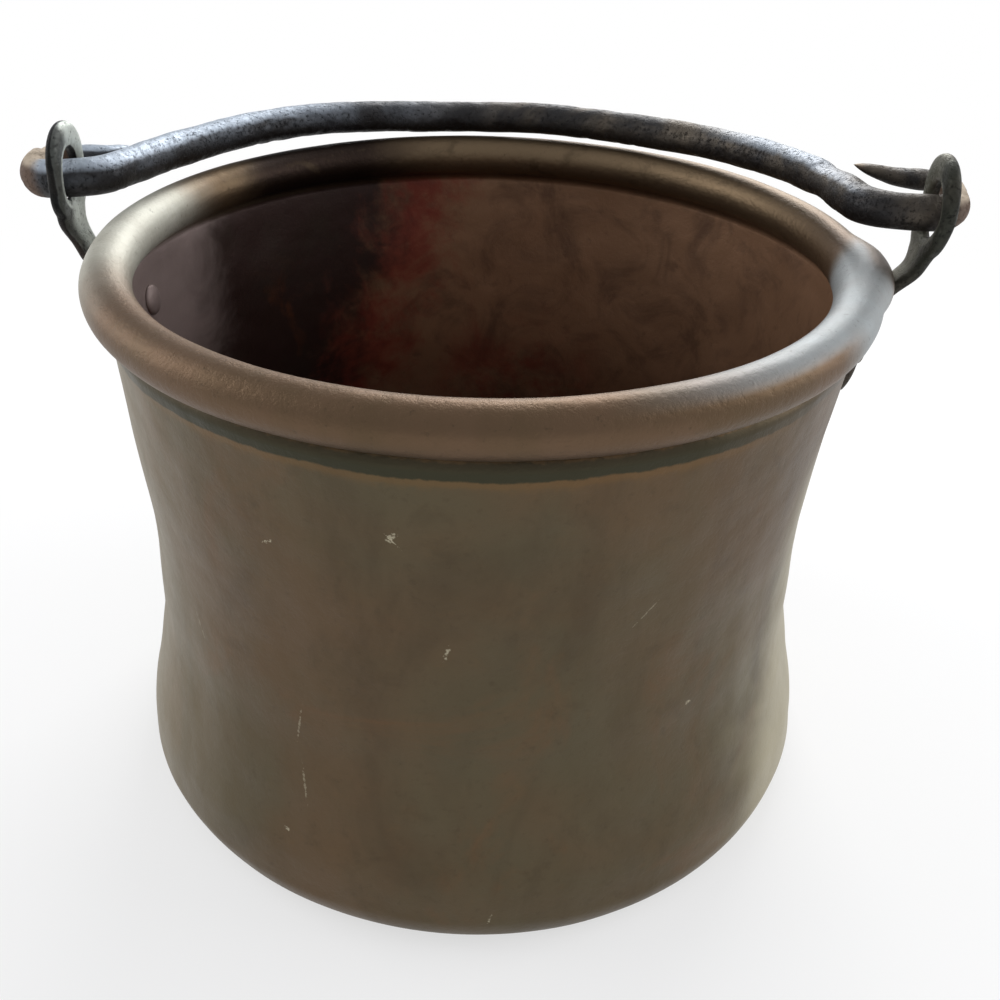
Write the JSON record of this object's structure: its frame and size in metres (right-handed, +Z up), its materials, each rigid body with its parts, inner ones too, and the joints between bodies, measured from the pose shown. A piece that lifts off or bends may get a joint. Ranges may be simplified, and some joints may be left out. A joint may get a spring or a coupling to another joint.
{
  "type": "copper candy kettle",
  "caption": "Deep round copper kettle with a waisted wall, a rolled rim over an iron hoop, riveted iron ears and a swinging forged iron bail with hooked ends.",
  "frame": {"origin": "centre of the flat base, where the kettle stands", "axes": "+Z up through the mouth, +X along the bail's pivot line to the right ear, +Y towards the side that the bail is laid back over"},
  "size_m": [0.4962, 0.4113, 0.3686],
  "materials": {
    "copper_sheet": "aged copper, brown and olive tarnish, softly hammered",
    "rivet_copper": "aged copper",
    "hoop_iron": "bare wrought iron",
    "ear_iron": "forged, dark and pitted",
    "bail_iron": "forged, dark and pitted, rusty hook ends"
  },
  "bodies": {
    "kettle": {"kettle_body": "copper_sheet", "rim_hoop": "hoop_iron", "left_ear": "ear_iron", "right_ear": "ear_iron", "left_rivet": "rivet_copper", "right_rivet": "rivet_copper"},
    "bail": {"bail": "bail_iron"}
  },
  "joints": [
    {"name": "bail_swing", "type": "hinge", "parent": "kettle", "child": "bail", "pos_m": [0, 0, 0.33625], "axis": [0.9999, 0, 0.0167], "range_deg": [0, 176]}
  ]
}
